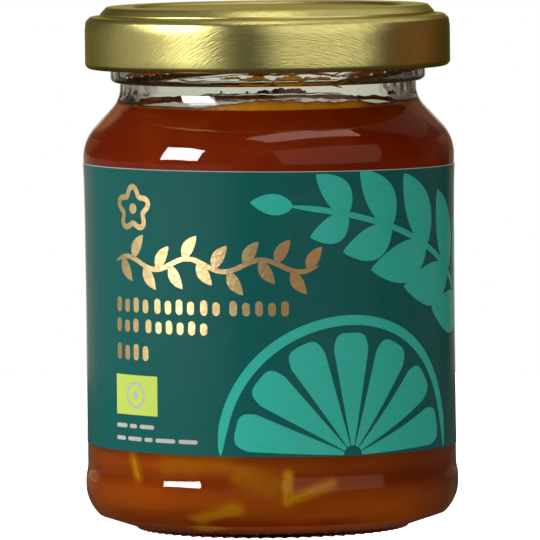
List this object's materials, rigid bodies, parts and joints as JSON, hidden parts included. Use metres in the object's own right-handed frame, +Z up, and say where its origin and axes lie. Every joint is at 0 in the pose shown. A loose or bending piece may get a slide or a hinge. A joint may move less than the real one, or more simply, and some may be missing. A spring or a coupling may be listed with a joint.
{
  "type": "jar of marmalade",
  "caption": "Small round glass jar filled with marmalade, with a wrap-around paper label and a shut twist-off metal lid.",
  "frame": {"origin": "centre of the bounding box's base, on the jar's axis at the foot's bearing ring", "axes": "+Z up along the jar's axis, -Y towards the middle of the label's front, +X to the right of it; the label's open strip is at +Y"},
  "size_m": [0.057, 0.057, 0.0796],
  "materials": {
    "flint_glass": "clear, smooth, faintly green at the edges",
    "preserve": "dark amber jelly with peel, wet and translucent",
    "printed_paper": "satin printed paper, dark teal",
    "gold_tinplate": "gold lacquer over brushed tinplate, satin"
  },
  "bodies": {
    "root": {"jar": "flint_glass", "marmalade": "preserve", "label": "printed_paper", "lid": "gold_tinplate"}
  },
  "joints": []
}
